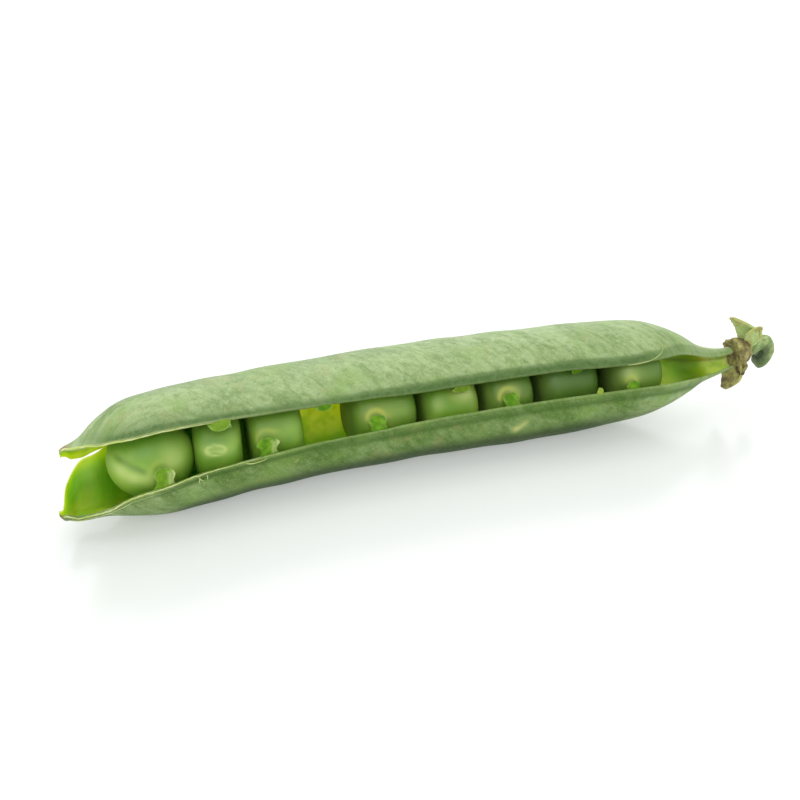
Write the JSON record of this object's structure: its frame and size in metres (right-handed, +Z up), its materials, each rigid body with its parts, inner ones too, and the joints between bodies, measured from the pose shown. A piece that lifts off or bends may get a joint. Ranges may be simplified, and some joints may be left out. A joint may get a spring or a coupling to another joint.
{
  "type": "pea pod",
  "caption": "Green pea pod lying on its side, split open along one seam, with peas held inside by short stalks, a dried calyx and a hooked stub of stem.",
  "frame": {"origin": "on the flat spot under the belly, half way along the pod", "axes": "+X along the pod from the blossom tip to the stem, -Y out of the split mouth, +Z up"},
  "size_m": [0.0886, 0.0166, 0.0134],
  "materials": {
    "pod_skin": "waxy, faintly streaked plant skin",
    "pea": "moist, smooth and glossy",
    "calyx": "dry, shrivelled leaf",
    "pedicel": "fresh green stem"
  },
  "bodies": {
    "root": {"pod_shell": "pod_skin", "pea_1": "pea", "pea_2": "pea", "pea_3": "pea", "pea_5": "pea", "pea_6": "pea", "pea_7": "pea", "pea_8": "pea", "pea_9": "pea", "calyx": "calyx", "pedicel": "pedicel"}
  },
  "joints": []
}
